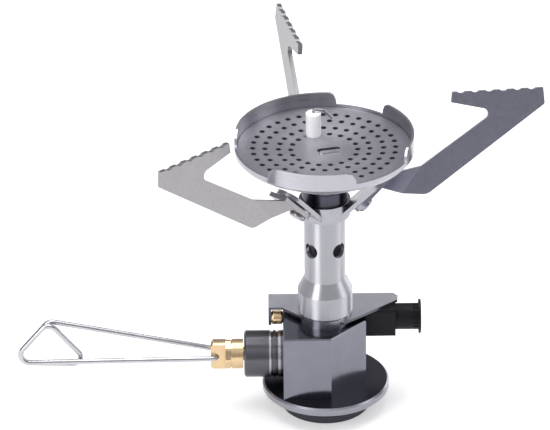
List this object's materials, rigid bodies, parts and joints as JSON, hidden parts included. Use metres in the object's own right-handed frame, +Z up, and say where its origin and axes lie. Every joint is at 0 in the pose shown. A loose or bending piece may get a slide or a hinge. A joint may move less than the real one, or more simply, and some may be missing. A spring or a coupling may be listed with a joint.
{
  "type": "canister stove",
  "caption": "Folding gas canister stove with a burner bowl, swing-out pot supports, a needle valve with a wire handle, and a push-button spark igniter.",
  "frame": {"origin": "on the axis of the canister thread, at the mouth of the thread, which is the lowest face of the connector", "axes": "+Z up along the burner tube; the valve and its wire handle run out to -X and the igniter's button to +X; the flat front face of the valve body faces -Y"},
  "size_m": [0.1494, 0.1039, 0.0975],
  "materials": {
    "seat_black": "black anodised, satin, with a polished rim",
    "seal_rubber": "matt black nitrile",
    "brass": "turned brass",
    "bronze_filter": "sintered bronze",
    "body_anodised": "grey-blue anodised, satin",
    "bonnet_grey": "dark grey anodised, finely turned",
    "polished_steel": "polished stainless steel",
    "wire_steel": "bright drawn wire",
    "tube_steel": "turned and polished stainless steel",
    "sheet_steel": "satin stainless sheet",
    "arm_steel": "satin stainless sheet, tumbled edges",
    "bowl_steel": "spun and polished stainless sheet",
    "plate_steel": "satin pierced stainless sheet",
    "igniter_black": "black moulded plastic",
    "spring_steel": "bright spring steel",
    "piezo_crystal": "ceramic crystal with a metal cap",
    "lead_insulation": "silicone insulation",
    "ceramic_white": "glazed white ceramic",
    "collar_dark": "dark heat-tinted steel"
  },
  "bodies": {
    "burner": {"arm_hub": "sheet_steel", "arm_rivets": "polished_steel", "arm_washers": "spring_steel", "bonnet_seal": "seal_rubber", "bracket_screw": "brass", "burner_bowl": "bowl_steel", "burner_collar": "collar_dark", "burner_tube": "tube_steel", "canister_seal": "seal_rubber", "canister_seat": "seat_black", "electrode_ceramic": "ceramic_white", "electrode_wire": "spring_steel", "flame_plate": "plate_steel", "gas_jet": "brass", "igniter_bracket": "sheet_steel", "igniter_housing": "igniter_black", "igniter_spring": "spring_steel", "ignition_lead": "lead_insulation", "inlet_filter": "bronze_filter", "jet_filter": "bronze_filter", "piezo_element": "piezo_crystal", "pin_depressor": "brass", "spindle_orings": "seal_rubber", "tube_lock_ring": "polished_steel", "valve_body": "body_anodised", "valve_bonnet": "bonnet_grey"},
    "right_arm": {"support_arm_right": "arm_steel"},
    "back_arm": {"support_arm_back": "arm_steel"},
    "left_arm": {"support_arm_left": "arm_steel"},
    "spindle": {"valve_spindle": "brass"},
    "needle": {"valve_needle": "polished_steel"},
    "handle": {"wire_handle": "wire_steel"},
    "button": {"igniter_button": "igniter_black"}
  },
  "joints": [
    {"name": "right_arm_fold", "type": "hinge", "parent": "burner", "child": "right_arm", "pos_m": [0.01018, -0.00213, 0.0663], "axis": [0.7089, -0.1481, -0.6896], "range_deg": [-92.8, 33.7]},
    {"name": "back_arm_fold", "type": "hinge", "parent": "burner", "child": "back_arm", "pos_m": [-0.00325, 0.00988, 0.0663], "axis": [-0.2262, 0.6879, -0.6896], "range_deg": [-126.5, 0]},
    {"name": "left_arm_fold", "type": "hinge", "parent": "burner", "child": "left_arm", "pos_m": [-0.00693, -0.00775, 0.0663], "axis": [-0.4827, -0.5399, -0.6896], "range_deg": [-124.4, 2.1]},
    {"name": "valve_turn", "type": "hinge", "parent": "burner", "child": "spindle", "pos_m": [-0.02, 0, 0.0161], "axis": [-1, 0, 0], "range_deg": [0, 900]},
    {"name": "needle_travel", "type": "slide", "parent": "burner", "child": "needle", "axis": [-1, 0, 0], "range_m": [0, 0.00176]},
    {"name": "handle_fold", "type": "hinge", "parent": "spindle", "child": "handle", "pos_m": [-0.031, 0, 0.0161], "axis": [0, 1, 0], "range_deg": [-90, 90]},
    {"name": "igniter_press", "type": "slide", "parent": "burner", "child": "button", "axis": [-1, 0, 0], "range_m": [0, 0.0045], "stiffness_N_per_m": 800, "springref_m": -0.001, "deforming": ["igniter_spring"]}
  ],
  "couplings": [
    {"joint": "needle_travel", "follows": "valve_turn", "m_per_rad": 0.00011141}
  ]
}
